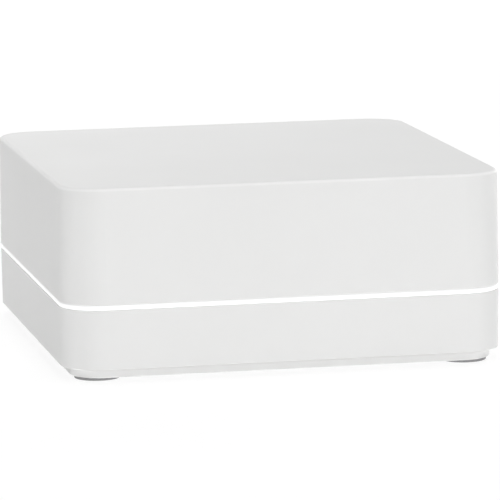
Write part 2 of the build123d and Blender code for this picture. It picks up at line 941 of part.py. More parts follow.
def antenna_lead(side):
    """The coaxial lead from a radio board's plug up to its antenna."""
    x, y = plug_place(side)
    low = board_top + radio_thickness
    end = seam_high + antenna_rise
    start = low + plug_height
    route = FilletPolyline(
        (x, y, start),
        (x, y, start + lead_rise),
        (antenna_inside(side) - side * lead_approach, y, end),
        (antenna_inside(side), y, end),
        radius=lead_bend,
    )
    lead = sweep(Plane(origin=route @ 0, z_dir=route % 0) * Circle(lead_radius), path=route)
    return lead + post(plug_radius, low, start, x, y)


def header_place():
    """The middle of the strip cable's header on the board."""
    return -board_width / 2 + header_side_inset, board_rear - header_rear_inset - header_depth


def strip_header():
    """The header that the light strips' cable plugs into."""
    x, y = header_place()
    header = block(header_width, header_depth, board_top, board_top + header_height, x, y)
    slot_low = board_top + header_height / 2
    return header - block(cable_width + 2 * fit_gap, cable_thickness + 2 * fit_gap, slot_low,
                          board_top + header_height + cut_over, x, y)


def strip_cable():
    """The flat cable from the header up and back to the rear light strip."""
    x, y = header_place()
    start = board_top + header_height / 2
    rear = hub_depth / 2 - strip_inside
    route = FilletPolyline((x, y, start), (x, y, seam_middle), (x, rear, seam_middle), radius=cable_bend)
    start_plane = Plane(origin=route @ 0, x_dir=(1, 0, 0), z_dir=route % 0)
    return sweep(start_plane * Rectangle(cable_width, cable_thickness), path=route)


sides = {"left": -1, "right": 1}

pieces = {
    "upper_shell": upper_shell(),
    "lower_shell": lower_shell(),
    "light_ring": light_ring(),
    "base_plate": base_plate(),
    "case_screws": case_screws(),
    "main_board": main_board(),
    "board_screws": board_screws(),
    "lan_shield": lan_shield(),
    "lan_insert": lan_insert(),
    "lan_contacts": lan_contacts_row(),
    "usb_shield": usb_shield(),
    "usb_tongue": usb_tongue(),
    "usb_contacts": usb_contacts_row(),
    "inlet_body": inlet_body(),
    "inlet_pin": inlet_pin(),
    "inlet_leaf": inlet_leaf(),
    "pairing_button": pairing_button(),
    "pairing_switch": switch_body("pairing", pairing_plunger_radius),
    "pairing_plunger": switch_plunger("pairing", pairing_plunger_radius, pairing_plunger_reach),
    "reset_switch": switch_body("reset", reset_plunger_radius),
    "reset_plunger": switch_plunger("reset", reset_plunger_radius, reset_plunger_reach),
    "processor": processor(),
    "thermal_pad": thermal_pad(),
    "heat_sink": heat_sink(),
    "memory_chips": memory_chips(),
    "storage_chip": storage_chip(),
    "network_chip": network_chip(),
    "clock_crystal": clock_crystal(),
    "power_chip": power_chip(),
    "power_inductor": power_inductor(),
    "input_capacitors": input_capacitors(),
    "board_passives": board_passives(),
    "coin_cell_holder": coin_cell_holder(),
    "coin_cell": coin_cell(),
    "corner_jumpers": corner_jumpers(),
    "strip_header": strip_header(),
    "strip_cable": strip_cable(),
}
for name in screw_places:
    pieces[f"foot_{name}"] = foot(name)
for name in strip_runs():
    pieces[f"light_strip_{name}"] = light_strip(name)
    pieces[f"diodes_{name}"] = diode_row(name)
for name, side in sides.items():
    pieces[f"radio_board_{name}"] = radio_board(side)
    pieces[f"radio_chip_{name}"] = radio_chip(side)
    pieces[f"radio_shield_{name}"] = radio_shield(side)
    pieces[f"antenna_{name}"] = antenna(side)
    pieces[f"antenna_lead_{name}"] = antenna_lead(side)

for name, piece in pieces.items():
    solids = piece if isinstance(piece, list) else [piece]
    export_step(Compound([solid for shape in solids for solid in shape.solids()]), f"parts/{name}.step")
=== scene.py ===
import bmesh
import bpy
import json
from math import cos, radians, sin
from mathutils import Matrix, Vector


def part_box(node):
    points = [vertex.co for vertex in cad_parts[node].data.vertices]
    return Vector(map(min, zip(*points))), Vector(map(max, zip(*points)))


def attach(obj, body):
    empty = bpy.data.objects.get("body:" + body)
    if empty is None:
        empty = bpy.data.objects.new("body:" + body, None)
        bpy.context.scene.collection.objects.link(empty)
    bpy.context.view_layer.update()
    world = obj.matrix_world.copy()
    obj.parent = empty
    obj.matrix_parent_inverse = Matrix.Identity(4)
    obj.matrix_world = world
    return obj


# A smart hub: a low white box of two shells with a light line between them, on a plinth and four feet.
# X runs across the front, the front faces -Y, and Z is up. Lengths are in metres and angles in degrees,
# and colours are linear red, green and blue.

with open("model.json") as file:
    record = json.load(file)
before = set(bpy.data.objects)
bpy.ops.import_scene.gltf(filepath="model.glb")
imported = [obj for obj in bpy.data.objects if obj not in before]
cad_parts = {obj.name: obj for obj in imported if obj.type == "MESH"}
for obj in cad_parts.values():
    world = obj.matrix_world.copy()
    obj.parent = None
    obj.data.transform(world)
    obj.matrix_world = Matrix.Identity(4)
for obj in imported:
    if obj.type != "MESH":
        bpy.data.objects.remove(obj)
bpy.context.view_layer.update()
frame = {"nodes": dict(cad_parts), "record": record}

# Camera, as fitted to the photograph
camera_azimuth = -11.448
camera_elevation = 8.771
camera_roll = -0.771
camera_distance = 1.5074
aim_right = 0.00306
aim_height = 0.02995
lens_mm = 311.4
sensor_mm = 36.0
clip_near = 0.1

# Studio, where a level of one is plain white. The floor's shade is the share of its albedo that is seen,
# and its glow rises to plain white from the shadow's reach outwards.
floor_size = 12.0
floor_albedo = 0.92
floor_shade = 0.25
floor_glow = 0.82
shadow_reach = 0.8
world_level = 0.3
lamp_width = 0.8
lamp_distance = 2.0
near_width = 0.25
near_distance = 0.5
lamps = {
    # name: (degrees round from the front towards the right, degrees up, watts, width, distance)
    "front": (0.0, 6.0, 11.5, lamp_width, lamp_distance),
    "front_left": (-30.0, 6.0, 9.8, lamp_width, lamp_distance),
    "right": (60.0, 6.0, 7.2, lamp_width, lamp_distance),
    "far_right": (110.0, 6.0, 3.5, lamp_width, lamp_distance),
    "back_right": (130.0, 12.0, 12.0, lamp_width, lamp_distance),
    "back": (180.0, 20.0, 6.0, lamp_width, lamp_distance),
    "left": (-110.0, 6.0, 5.4, lamp_width, lamp_distance),
    "near_left": (-150.0, 25.0, 0.13, near_width, near_distance),
    "top": (0.0, 89.0, 13.3, lamp_width, lamp_distance),
    "under": (0.0, -89.0, 30.0, lamp_width, lamp_distance),
}

# White plastic
white = (0.80, 0.80, 0.795)
cloud_size = 0.06
gloss_patch = 0.012
roughness_swing = 0.05

# Light line, light strips and diodes
seam_gap = 0.00175
# Heights over which the line's glow fades at its top and foot: painted shade from the shells' rims
painted_rim_shade_top = 0.0008
painted_rim_shade_foot = 0.0002
line_glow = 0.38
strip_white = (0.85, 0.85, 0.83)
copper_patch = 0.006
copper_level = 0.52
diode_white = (0.9, 0.9, 0.88)
phosphor_yellow = (0.95, 0.75, 0.18)
diode_pitch = 0.022
phosphor_radius = 0.0011
film_amber = (0.5, 0.22, 0.04)
film_copper = (0.72, 0.36, 0.12)
jumper_pitch = 0.00075
jumper_width = 0.00044

# Circuit boards. The share of tracks left out is of all the stretches that could hold one.
mask_green = (0.012, 0.11, 0.045)
mask_swing = 0.15
track_green = (0.025, 0.19, 0.075)
outline_ink = (0.80, 0.80, 0.78)
plated_gold = (0.75, 0.55, 0.22)
drilled_black = (0.01, 0.01, 0.01)
laminate_brown = (0.42, 0.36, 0.18)
track_pitch = 0.0012
track_width = 0.00028
track_run = 0.009
tracks_left_out = 0.55
via_spacing = 0.0062
via_radius = 0.07 * via_spacing
drill_radius = 0.03 * via_spacing
outline_gap = 0.0013
outline_width = 0.00018
outlined_nodes = (
    "storage_chip", "network_chip", "power_chip", "power_inductor", "clock_crystal", "strip_header",
)

# Parts on the boards. A chip's dot is set in by a share of the chip's shorter side, and its radius is a
# share of that. A capacitor's mark starts a share of the can's radius away from the middle.
dot_inset_share = 0.14
dot_radius_share = 1 / 3
passive_pitch = 0.0032
passive_length = 0.0016
passive_end = 0.00032
can_skin = 0.0001
can_mark_share = 0.35
steel_grey = (0.78, 0.78, 0.78)
steel_swing = 0.1
weave_radians_per_metre = 9000.0

# Antennas and cables. The wires' ridges are a little wider than their pitch, so that none ends upright.
ridge_pitch = 0.005
ridge_width = 0.0016
ridge_height = 0.009
plug_height = 0.0012
wire_pitch = 0.0008
ridge_to_pitch = 1.02
cable_grey = (0.55, 0.56, 0.57)

# Bent sheet metal. The rounding is a share of the sheet's thickness.
rounding_share = 0.2
clip_width = 0.005
clip_thickness = 0.0003
clip_reach = 0.0075
clip_dip_start = 0.7 * clip_reach
clip_dip_end = 0.9 * clip_reach


def middle(node):
    """The middle of a CAD node's box."""
    low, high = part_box(node)
    return (low + high) / 2


def extent(node):
    """The size of a CAD node's box along each axis."""
    low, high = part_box(node)
    return high - low


def toned(colour, share):
    """A colour with each part multiplied by a share."""
    return tuple(part * share for part in colour)


# The height of the light line, which the strips and the diodes behind it share
seam_height = middle("light_ring").z


class Graph:
    """The node tree of a material or a world, with short calls that add nodes to it."""

    def __init__(self, tree):
        self.tree = tree

    def node(self, kind, **settings):
        """Adds a node with its settings."""
        node = self.tree.nodes.new(kind)
        for key, value in settings.items():
            setattr(node, key, value)
        return node

    def feed(self, socket, value):
        """Links a socket to an output, or writes a value on it."""
        if isinstance(value, bpy.types.NodeSocket):
            self.tree.links.new(value, socket)
        else:
            socket.default_value = value

    def parts(self, vector):
        """The three numbers of a vector."""
        split = self.node("ShaderNodeSeparateXYZ")
        self.feed(split.inputs[0], vector)
        return tuple(split.outputs)

    def vector(self, x, y, z):
        """A vector from three numbers."""
        join = self.node("ShaderNodeCombineXYZ")
        for socket, value in zip(join.inputs, (x, y, z)):
            self.feed(socket, value)
        return join.outputs[0]

    def length(self, across, along):
        """The length of a flat vector with these two parts."""
        node = self.node("ShaderNodeVectorMath", operation="LENGTH")
        self.feed(node.inputs[0], self.vector(across, along, 0.0))
        return node.outputs["Value"]

    def math(self, operation, *values):
        """The result of a Math node."""
        node = self.node("ShaderNodeMath", operation=operation)
        for socket, value in zip(node.inputs, values):
            self.feed(socket, value)
        return node.outputs[0]

    def minus(self, value, other):
        """The difference of two values."""
        return self.math("SUBTRACT", value, other)

    def times(self, value, other):
        """The product of two values."""
        return self.math("MULTIPLY", value, other)

    def larger(self, value, other):
        """The larger of two values."""
        return self.math("MAXIMUM", value, other)

    def unsigned(self, value):
        """A value without its sign."""
        return self.math("ABSOLUTE", value)

    def opposite(self, share):
        """What a share leaves of one."""
        return self.minus(1.0, share)

    def below(self, value, limit):
        """One where the value is below the limit, and zero elsewhere."""
        return self.math("LESS_THAN", value, limit)

    def above(self, value, limit):
        """One where the value is above the limit, and zero elsewhere."""
        return self.math("GREATER_THAN", value, limit)

    def within(self, value, reach):
        """One where the value is less than the reach away from zero, and zero elsewhere."""
        return self.below(self.unsigned(value), reach)

    def wrapped(self, value, pitch, start=0.0):
        """The distance from the nearest of a row of places, with its sign."""
        return self.math("WRAP", self.minus(value, start), -pitch / 2, pitch / 2)

    def spread(self, value, at_start, at_end, start=0.0, end=1.0):
        """Goes from one number to another while a value goes from start to end, and stays between them."""
        node = self.node("ShaderNodeMapRange")
        for name, number in (("Value", value), ("From Min", start), ("From Max", end),
                             ("To Min", at_start), ("To Max", at_end)):
            self.feed(node.inputs[name], number)
        return node.outputs[0]

    def mix(self, share, at_zero, at_one):
        """The colour that a share picks between its colour at zero and at one."""
        node = self.node("ShaderNodeMix", data_type="RGBA")
        self.feed(node.inputs["Factor"], share)
        for name, colour in (("A", at_zero), ("B", at_one)):
            value = colour if isinstance(colour, bpy.types.NodeSocket) else (*colour, 1.0)
            sockets = [s for s in node.inputs if s.name == name and s.type == "RGBA"]
            self.feed(sockets[0], value)
        return [s for s in node.outputs if s.type == "RGBA"][0]


class Look(Graph):
    """A node material: a principled shader, and short calls that add the patterns that feed it.

    Its plain colour and roughness hold until a pattern takes their place.
    """

    def __init__(self, name, colour, roughness, metallic=0.0):
        self.material = bpy.data.materials.new(name)
        self.material.use_nodes = True
        super().__init__(self.material.node_tree)
        self.shader = self.tree.nodes["Principled BSDF"]
        self.set("Base Color", (*colour, 1.0))
        self.set("Roughness", roughness)
        self.set("Metallic", metallic)
        coordinates = self.node("ShaderNodeTexCoord")
        self.place = coordinates.outputs["Object"]
        self.normal = coordinates.outputs["Normal"]
        self.x, self.y, self.z = self.parts(self.place)

    def set(self, name, value):
        """Feeds one of the shader's own sockets."""
        self.feed(self.shader.inputs[name], value)

    def colour(self, share, at_zero, at_one):
        """Colours the surface by a share, from its colour at zero and at one."""
        self.set("Base Color", self.mix(share, at_zero, at_one))

    def roughness(self, share, at_zero, at_one):
        """Sets the roughness by a share, from its value at zero and at one."""
        self.set("Roughness", self.spread(share, at_zero, at_one))

    def bump(self, pattern, depth):
        """Raises the surface by a pattern, on top of what was raised before."""
        node = self.node("ShaderNodeBump")
        self.feed(node.inputs["Height"], pattern)
        self.feed(node.inputs["Distance"], depth)
        self.feed(node.inputs["Strength"], 1.0)
        before = self.shader.inputs["Normal"].links
        if before:
            self.feed(node.inputs["Normal"], before[0].from_socket)
        self.set("Normal", node.outputs[0])

    def level(self):
        """How level the surface is: one on a flat top or underside, and zero on an upright wall."""
        _, _, up = self.parts(self.normal)
        return self.unsigned(up)

    def stretched(self, y=1.0, z=1.0):
        """The object's coordinates, scaled along Y or Z: a small scale draws a pattern out."""
        node = self.node("ShaderNodeMapping")
        self.feed(node.inputs["Vector"], self.place)
        self.feed(node.inputs["Scale"], (1.0, y, z))
        return node.outputs[0]

    def noise(self, size, detail=2.0, where=None):
        """Smooth noise with features of a given size."""
        node = self.node("ShaderNodeTexNoise")
        self.feed(node.inputs["Vector"], where or self.place)
        self.feed(node.inputs["Scale"], 1.0 / size)
        self.feed(node.inputs["Detail"], detail)
        return node.outputs["Fac"]

    def cells(self, size, where=None, dimensions="3D"):
        """The distance to the nearest point of a cell pattern, as a share of the cells' size."""
        node = self.node("ShaderNodeTexVoronoi", voronoi_dimensions=dimensions)
        self.feed(node.inputs["Vector"], where or self.place)
        self.feed(node.inputs["Scale"], 1.0 / size)
        return node.outputs["Distance"]


def moulded(name, colour, roughness, gloss=0.5, grain=0.0004, depth=0.000012, tone=0.02, edge_highlight=0.0):
    """Moulded plastic: a fine grain, slight changes of tone and roughness, and a painted highlight on the
    rounded edges.
    """
    look = Look(name, colour, roughness)
    look.set("Specular IOR Level", gloss)
    cloud = look.noise(size=cloud_size, detail=3.0)
    flat = look.mix(cloud, toned(colour, 1 - tone), toned(colour, 1 + tone))
    # Painted highlight: a lighter copy of the colour for the rounded edges
    highlight_colour = toned(colour, 1 + edge_highlight)
    highlighted = look.mix(cloud, toned(highlight_colour, 1 - tone), toned(highlight_colour, 1 + tone))
    # One where the surface leans halfway, and zero where it is level or upright: the rounded edges, which
    # take the painted highlight. The product of a share and what it leaves of one is a quarter at most.
    level = look.level()
    rounded = look.times(look.times(level, 4.0), look.opposite(level))
    # Painted highlight: the rounded edges take the lighter colour
    look.colour(rounded, flat, highlighted)
    patches = look.noise(size=gloss_patch, detail=3.0)
    look.roughness(patches, roughness - roughness_swing, roughness + roughness_swing)
    look.bump(look.noise(size=grain, detail=3.0), depth)
    return look


def light_guide():
    """The milky light guide, lit from behind: its line of light fades at top and foot, as painted rim
    shade.
    """
    look = Look("light_guide", (0.78, 0.78, 0.78), roughness=0.4)
    top = seam_height + seam_gap / 2
    foot = seam_height - seam_gap / 2
    # Painted shade: the glow fades out under the upper shell's rim, and over a short height above the
    # lower one
    under_top = look.spread(look.z, 1.0, 0.0, start=top - painted_rim_shade_top, end=top)
    over_foot = look.spread(look.z, 0.0, 1.0, start=foot, end=foot + painted_rim_shade_foot)
    tint = look.mix(look.noise(size=0.009), at_zero=(0.96, 0.97, 1.0), at_one=(1.0, 1.0, 1.0))
    look.set("Emission Color", tint)
    look.set("Emission Strength", look.times(line_glow, look.times(under_top, over_foot)))
    look.bump(look.noise(size=0.0008), depth=0.00001)
    return look


def foot_rubber():
    """Matt grey rubber with a fine speckle and a mould grain."""
    look = Look("foot_rubber", (0.34, 0.34, 0.345), roughness=0.8)
    speckle = look.noise(size=0.0005, detail=4.0)
    look.colour(speckle, at_zero=(0.27, 0.27, 0.275), at_one=(0.42, 0.42, 0.425))
    look.roughness(look.noise(size=0.002), at_zero=0.7, at_one=0.95)
    look.bump(speckle, depth=0.00003)
    return look


def track_lines(look, along, across):
    """One on the tracks that run one way: each stretch of a grid line has a track or not, by chance."""
    line = look.math("ROUND", look.math("DIVIDE", across, track_pitch))
    stretch = look.math("FLOOR", look.math("DIVIDE", along, track_run))
    chance = look.node("ShaderNodeTexWhiteNoise", noise_dimensions="2D")
    look.feed(chance.inputs["Vector"], look.vector(line, stretch, 0.0))
    on_line = look.within(look.wrapped(across, track_pitch), track_width / 2)
    return look.times(on_line, look.above(chance.outputs["Value"], tracks_left_out))


def outline(look, node):
    """One on a printed outline round a node's box."""
    centre = middle(node)
    reach = extent(node) / 2
    beyond_x = look.minus(look.unsigned(look.minus(look.x, centre.x)), reach.x + outline_gap)
    beyond_y = look.minus(look.unsigned(look.minus(look.y, centre.y)), reach.y + outline_gap)
    return look.within(look.larger(beyond_x, beyond_y), outline_width / 2)


def board():
    """A printed circuit board: solder mask over tracks, printed outlines, plated holes and bare edges."""
    look = Look("board_green", mask_green, roughness=0.35)
    tracks = look.larger(track_lines(look, look.x, look.y), track_lines(look, look.y, look.x))
    outlines = 0.0
    for node in outlined_nodes:
        outlines = look.larger(outlines, outline(look, node))
    flat = look.vector(look.x, look.y, 0.0)
    holes = look.cells(size=via_spacing, where=flat, dimensions="2D")
    rings = look.below(holes, via_radius / via_spacing)
    drilled = look.below(holes, drill_radius / via_spacing)
    cloud = look.noise(size=0.02, detail=3.0)
    face = look.mix(cloud, toned(mask_green, 1 - mask_swing), toned(mask_green, 1 + mask_swing))
    face = look.mix(tracks, face, track_green)
    face = look.mix(outlines, face, outline_ink)
    face = look.mix(rings, face, plated_gold)
    face = look.mix(drilled, face, drilled_black)
    side = look.below(look.level(), 0.5)
    look.colour(side, face, laminate_brown)
    look.set("Metallic", look.times(rings, look.opposite(side)))
    look.roughness(side, at_zero=0.32, at_one=0.8)
    look.bump(look.math("ADD", tracks, rings), depth=0.00003)
    look.bump(look.noise(size=0.0006), depth=0.000008)
    return look


def light_strip():
    """The white solder mask of a light strip, with faint copper under it."""
    look = Look("strip_white", strip_white, roughness=0.4)
    copper = look.above(look.noise(size=copper_patch, detail=1.0), copper_level)
    look.colour(copper, strip_white, (0.80, 0.79, 0.74))
    look.bump(copper, depth=0.00003)
    return look


def diode(name, axis):
    """The light-emitting diodes of a row along X or Y: white packages with yellow phosphor windows."""
    look = Look(name, diode_white, roughness=0.35)
    along = {"x": look.x, "y": look.y}[axis]
    from_middle = look.length(look.wrapped(along, diode_pitch), look.minus(look.z, seam_height))
    window = look.below(from_middle, phosphor_radius)
    look.colour(window, diode_white, phosphor_yellow)
    look.roughness(window, at_zero=0.45, at_one=0.15)
    look.bump(look.opposite(window), depth=0.00008)
    look.bump(look.noise(size=0.0004), depth=0.00001)
    return look


def jumper_film():
    """Amber film with flat copper leads running along it."""
    look = Look("jumper_film", film_amber, roughness=0.3)
    height = look.minus(look.z, seam_height)
    leads = look.within(look.wrapped(height, jumper_pitch), jumper_width / 2)
    look.colour(leads, film_amber, film_copper)
    look.roughness(look.noise(size=0.004), at_zero=0.22, at_one=0.4)
    look.bump(leads, depth=0.00003)
    return look


def chip(node):
    """A chip package: fine matt resin, with a shallow dot at the first corner."""
    look = Look(f"chip_{node}", (0.03, 0.03, 0.032), roughness=0.6)
    low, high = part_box(node)
    inset = dot_inset_share * min(extent(node).xy)
    from_dot = look.length(look.minus(look.x, low.x + inset), look.minus(look.y, high.y - inset))
    dot = look.below(from_dot, inset * dot_radius_share)
    grain = look.noise(size=0.0003, detail=3.0)
    resin = look.mix(grain, at_zero=(0.022, 0.022, 0.024), at_one=(0.05, 0.05, 0.053))
    look.colour(dot, resin, (0.11, 0.11, 0.11))
    look.roughness(dot, at_zero=0.62, at_one=0.3)
    look.bump(look.minus(grain, dot), depth=0.00003)
    return look


def passive():
    """Small ceramic parts with tinned ends."""
    look = Look("passive_brown", (0.45, 0.33, 0.22), roughness=0.5)
    low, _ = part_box("board_passives")
    along = look.wrapped(look.x, passive_pitch, low.x + passive_length / 2)
    end = look.above(look.unsigned(along), passive_length / 2 - passive_end)
    body = look.mix(look.noise(size=0.0008), at_zero=(0.38, 0.27, 0.17), at_one=(0.52, 0.40, 0.28))
    look.colour(end, body, (0.75, 0.75, 0.74))
    look.set("Metallic", end)
    look.roughness(end, at_zero=0.55, at_one=0.3)
    look.bump(end, depth=0.00004)
    return look


def tinned_sheet():
    """Tinned steel sheet: soft clouds of brighter and duller metal, with fine rolling lines."""
    look = Look("shield_metal", (0.72, 0.72, 0.71), roughness=0.35, metallic=1.0)
    cloud = look.noise(size=0.004, detail=4.0)
    look.colour(cloud, at_zero=(0.62, 0.62, 0.61), at_one=(0.80, 0.80, 0.79))
    look.roughness(cloud, at_zero=0.28, at_one=0.46)
    look.bump(look.noise(size=0.0005, where=look.stretched(y=0.04)), depth=0.000006)
    return look


def contact_gold():
    """Gold-flashed contacts with slight wear."""
    look = Look("contact_gold", (0.95, 0.70, 0.30), roughness=0.25, metallic=1.0)
    wear = look.noise(size=0.0012, detail=3.0)
    look.colour(wear, at_zero=(0.88, 0.62, 0.24), at_one=(0.98, 0.78, 0.42))
    look.roughness(wear, at_zero=0.18, at_one=0.35)
    look.bump(look.noise(size=0.0003), depth=0.000004)
    return look


def screw_steel():
    """Zinc-plated screw steel with a fine spangle."""
    look = Look("screw_steel", (0.62, 0.62, 0.63), roughness=0.35, metallic=1.0)
    spangle = look.cells(size=0.0007)
    look.colour(spangle, at_zero=(0.70, 0.70, 0.71), at_one=(0.50, 0.50, 0.52))
    look.roughness(spangle, at_zero=0.25, at_one=0.45)
    look.bump(look.noise(size=0.0004), depth=0.000006)
    return look


def sink_metal():
    """Extruded aluminium: long fine lines along the fins."""
    look = Look("sink_metal", (0.75, 0.75, 0.76), roughness=0.4, metallic=1.0)
    lines = look.noise(size=0.0004, detail=3.0, where=look.stretched(y=0.02))
    look.colour(lines, at_zero=(0.68, 0.68, 0.69), at_one=(0.82, 0.82, 0.83))
    look.roughness(lines, at_zero=0.32, at_one=0.5)
    look.bump(lines, depth=0.00001)
    return look


def pad_grey():
    """A soft silicone pad with an open woven face."""
    look = Look("pad_grey", (0.42, 0.48, 0.56), roughness=0.75)
    wave_x = look.math("SINE", look.times(look.x, weave_radians_per_metre))
    wave_y = look.math("SINE", look.times(look.y, weave_radians_per_metre))
    look.colour(look.noise(size=0.003), at_zero=(0.38, 0.44, 0.52), at_one=(0.47, 0.53, 0.61))
    look.bump(look.times(wave_x, wave_y), depth=0.00001)
    return look


def turned_steel(node):
    """Bright steel with fine turned rings round a node's middle."""
    look = Look(f"metal_{node}", steel_grey, roughness=0.25, metallic=1.0)
    centre = middle(node)
    radius = look.length(look.minus(look.x, centre.x), look.minus(look.y, centre.y))
    rings = look.noise(size=0.0003, where=look.vector(radius, 0.0, look.z))
    look.colour(rings, toned(steel_grey, 1 - steel_swing), toned(steel_grey, 1 + steel_swing))
    look.roughness(rings, at_zero=0.17, at_one=0.33)
    look.bump(rings, depth=0.000006)
    return look


def capacitor_metal():
    """Aluminium cans in a row, with a dark mark on one side of each top."""
    look = Look("capacitor_metal", (0.74, 0.74, 0.75), roughness=0.35, metallic=1.0)
    low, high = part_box("input_capacitors")
    radius = (high.y - low.y) / 2
    pitch = high.x - low.x - 2 * radius
    across = look.wrapped(look.x, pitch, low.x + radius)
    top = look.above(look.z, high.z - can_skin)
    mark = look.times(top, look.below(across, -radius * can_mark_share))
    lines = look.noise(size=0.0005, where=look.stretched(z=0.05))
    metal = look.mix(lines, at_zero=(0.66, 0.66, 0.67), at_one=(0.80, 0.80, 0.81))
    look.colour(mark, metal, (0.03, 0.03, 0.03))
    look.set("Metallic", look.opposite(mark))
    look.roughness(lines, at_zero=0.3, at_one=0.42)
    look.bump(lines, depth=0.000008)
    return look


def inductor_grey():
    """Pressed iron powder in a moulded body."""
    look = Look("inductor_grey", (0.12, 0.12, 0.125), roughness=0.7)
    powder = look.cells(size=0.0005)
    look.colour(powder, at_zero=(0.16, 0.16, 0.165), at_one=(0.08, 0.08, 0.085))
    look.bump(powder, depth=0.00004)
    return look


def antenna_film():
    """Black film over a copper pattern that shows through as faint ridges."""
    look = Look("antenna_film", (0.035, 0.035, 0.035), roughness=0.35)
    across = look.within(look.wrapped(look.y, ridge_pitch), ridge_width / 2)
    inner = look.within(look.minus(look.z, middle("antenna_left").z), ridge_height / 2)
    ridge = look.times(across, inner)
    look.colour(ridge, at_zero=(0.03, 0.03, 0.03), at_one=(0.09, 0.065, 0.045))
    look.roughness(look.noise(size=0.006, detail=3.0), at_zero=0.28, at_one=0.5)
    look.bump(ridge, depth=0.00005)
    return look


def antenna_lead():
    """A black coaxial lead, with a gilt plug at its foot."""
    look = Look("lead_black", (0.02, 0.02, 0.02), roughness=0.45)
    plug = look.below(look.z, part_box("radio_board_left")[1].z + plug_height)
    jacket = look.mix(look.noise(size=0.002), at_zero=(0.015, 0.015, 0.015), at_one=(0.04, 0.04, 0.04))
    look.colour(plug, jacket, (0.92, 0.70, 0.32))
    look.set("Metallic", plug)
    look.roughness(plug, at_zero=0.45, at_one=0.25)
    look.bump(look.noise(size=0.0004), depth=0.00001)
    return look


def flat_cable():
    """Grey flat cable: a ridge for each wire, and a red first wire."""
    look = Look("cable_grey", cable_grey, roughness=0.55)
    low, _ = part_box("strip_cable")
    across = look.wrapped(look.x, wire_pitch, low.x + wire_pitch / 2)
    share = look.math("DIVIDE", across, wire_pitch / 2 * ridge_to_pitch)
    ridge = look.math("SQRT", look.opposite(look.math("POWER", share, 2.0)))
    look.colour(look.below(look.x, low.x + wire_pitch), cable_grey, (0.55, 0.06, 0.05))
    look.bump(ridge, depth=0.00025)
    look.bump(look.noise(size=0.0006), depth=0.00001)
    return look


# The shells, plinth and button take a painted highlight on their rounded edges.
looks = {
    "shell_white": moulded("shell_white", white, roughness=0.68, gloss=0.3, edge_highlight=0.07),
    "plinth_white": moulded("plinth_white", white, roughness=0.72, gloss=0.3, grain=0.0006, edge_highlight=0.08),
    "button_white": moulded("button_white", toned(white, 0.98), roughness=0.5, gloss=0.4,
                            grain=0.0003, edge_highlight=0.05),
    "light_guide": light_guide(),
    "foot_rubber": foot_rubber(),
    "board_green": board(),
    "strip_white": light_strip(),
    "diode_resin": diode("diode_resin_x", "x"),
    "diode_resin_y": diode("diode_resin_y", "y"),
    "jumper_film": jumper_film(),
    "socket_black": moulded("socket_black", (0.02, 0.02, 0.02), roughness=0.45, depth=0.00001, tone=0.2),
    "passive_brown": passive(),
    "shield_metal": tinned_sheet(),
    "contact_gold": contact_gold(),
    "screw_steel": screw_steel(),
    "sink_metal": sink_metal(),
    "pad_grey": pad_grey(),
    "capacitor_metal": capacitor_metal(),
    "inductor_grey": inductor_grey(),
    "antenna_film": antenna_film(),
    "lead_black": antenna_lead(),
    "cable_grey": flat_cable(),
    "header_cream": moulded("header_cream", (0.78, 0.70, 0.52), roughness=0.5),
    "plunger_red": moulded("plunger_red", (0.42, 0.05, 0.03), roughness=0.4),
}


def look_of(node, slot):
    """The look of a CAD node with this material slot. Chips and turned cans have one of their own."""
    if slot == "chip_black":
        return chip(node)
    if slot == "cell_metal":
        return turned_steel(node)
    if node in ("diodes_left", "diodes_right"):
        return looks["diode_resin_y"]
    return looks[slot]


def add_strip(mesh, start, outward, path, width):
    """Adds a bent strip, whose path is given as distances outward and up from its start."""
    across = Vector((-outward.y, outward.x, 0.0)) * width / 2
    rows = []
    for out, up in path:
        place = start + outward * out + Vector((0.0, 0.0, up))
        rows.append([mesh.verts.new(place - across), mesh.verts.new(place + across)])
    for first, second in zip(rows, rows[1:]):
        mesh.faces.new([first[0], first[1], second[1], second[0]])


def sheet_metal(name, mesh, thickness):
    """A piece of bent tinned sheet, made from flat strips, that rides with the casing."""
    data = bpy.data.meshes.new(name)
    mesh.to_mesh(data)
    mesh.free()
    data.materials.append(looks["shield_metal"].material)
    piece = bpy.data.objects.new(name, data)
    bpy.context.scene.collection.objects.link(piece)
    thicken = piece.modifiers.new("thickness", "SOLIDIFY")
    thicken.thickness = thickness
    thicken.offset = 0.0
    rounded = piece.modifiers.new("rounded edges", "BEVEL")
    rounded.width = thickness * rounding_share
    rounded.segments = 2
    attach(piece, "casing")


def chip_leads(node, sides, pitch, width, thickness):
    """Bent leads from the sides of a chip down to the board."""
    low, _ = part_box(node)
    size = extent(node)
    foot = Vector((middle(node).x, middle(node).y, low.z))
    root = -thickness
    shoulder = 2 * thickness
    heel = 4 * thickness
    toe = 8 * thickness
    path = [(root, size.z / 2), (shoulder, size.z / 2), (heel, thickness / 2), (toe, thickness / 2)]
    mesh = bmesh.new()
    for outward in sides:
        along = Vector((-outward.y, outward.x, 0.0))
        to_side = abs(outward.dot(size)) / 2
        count = int((abs(along.dot(size)) - 2 * width) / pitch) + 1
        for i in range(count):
            shift = (i - (count - 1) / 2) * pitch
            add_strip(mesh, foot + outward * to_side + along * shift, outward, path, width)
    sheet_metal(f"{node}_leads", mesh, thickness)


